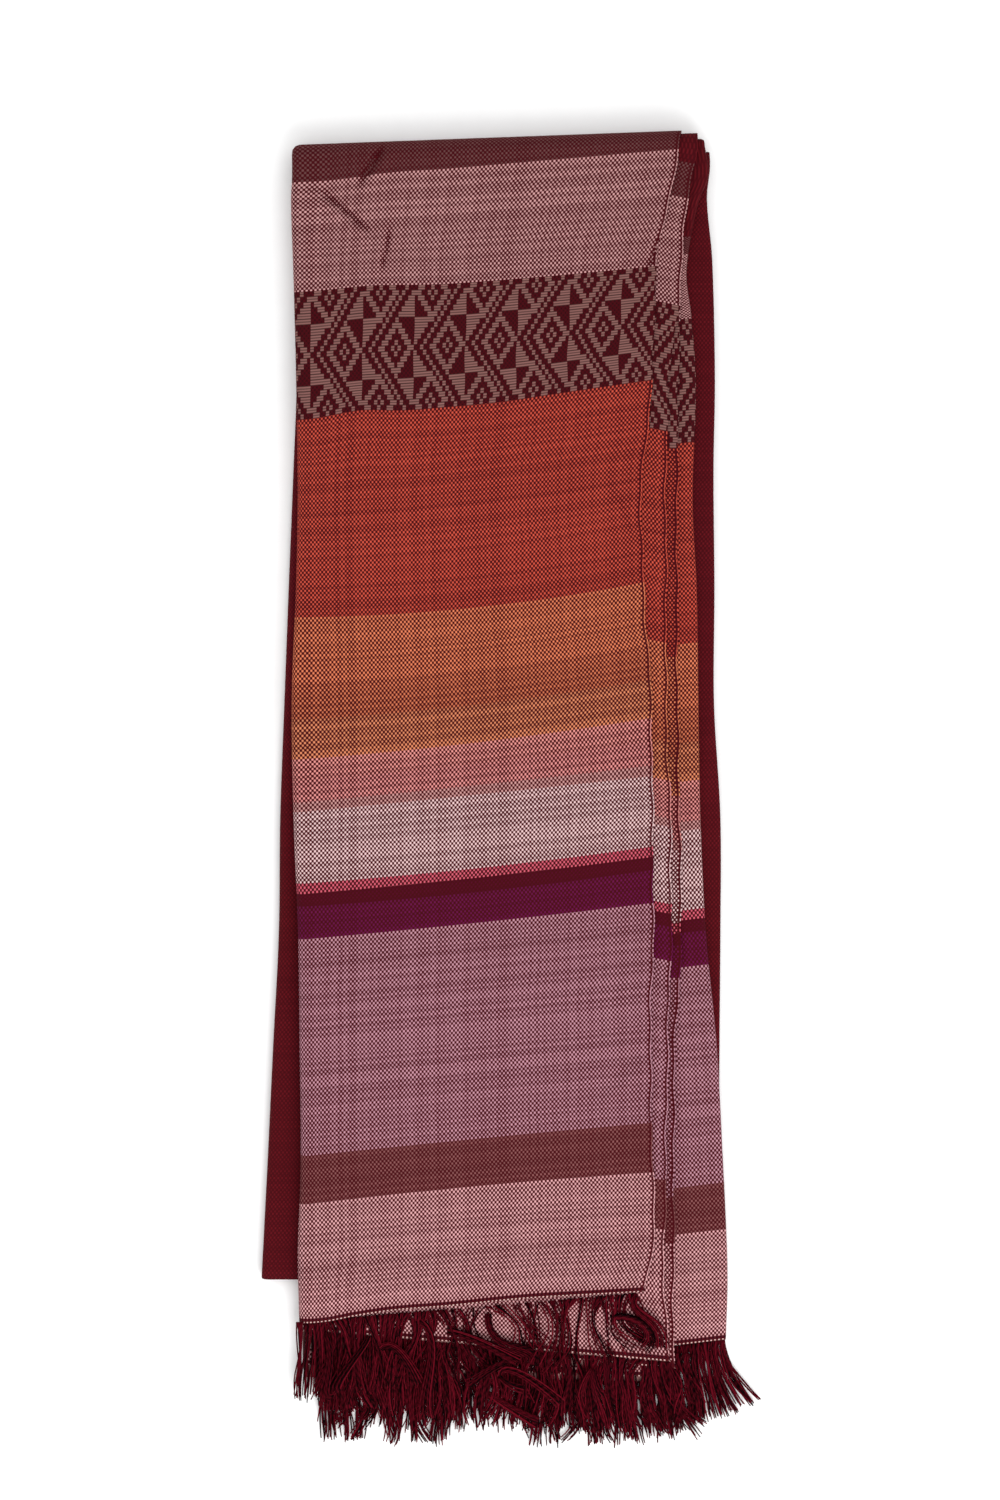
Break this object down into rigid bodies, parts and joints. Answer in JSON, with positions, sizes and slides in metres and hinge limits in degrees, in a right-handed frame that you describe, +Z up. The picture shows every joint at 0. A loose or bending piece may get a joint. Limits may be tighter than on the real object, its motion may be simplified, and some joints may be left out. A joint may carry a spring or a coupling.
{
  "type": "folded scarf",
  "caption": "Handwoven cotton scarf with coloured weft stripes, a diamond brocade band and cut fringes, folded into a long flat bundle.",
  "frame": {"origin": "middle of the underside's outline box, on the surface that the scarf lies on", "axes": "+X to the right seen from above, with the selvedges; +Y from the fringes to the top fold; +Z up"},
  "size_m": [0.2152, 0.5748, 0.0154],
  "materials": {
    "striped_cloth": "matte plain weave, maroon warp with coloured weft stripes",
    "plain_cloth": "matte plain weave, maroon",
    "fringe_yarn": "loose maroon cotton warp ends with a soft sheen"
  },
  "bodies": {
    "root": {"top_layer": "striped_cloth", "second_layer": "striped_cloth", "third_layer": "striped_cloth", "under_layer": "striped_cloth", "hidden_layers": "plain_cloth", "back_layer": "plain_cloth", "top_fringe": "fringe_yarn", "second_fringe": "fringe_yarn", "hidden_fringe": "fringe_yarn", "under_fringe": "fringe_yarn"}
  },
  "joints": []
}
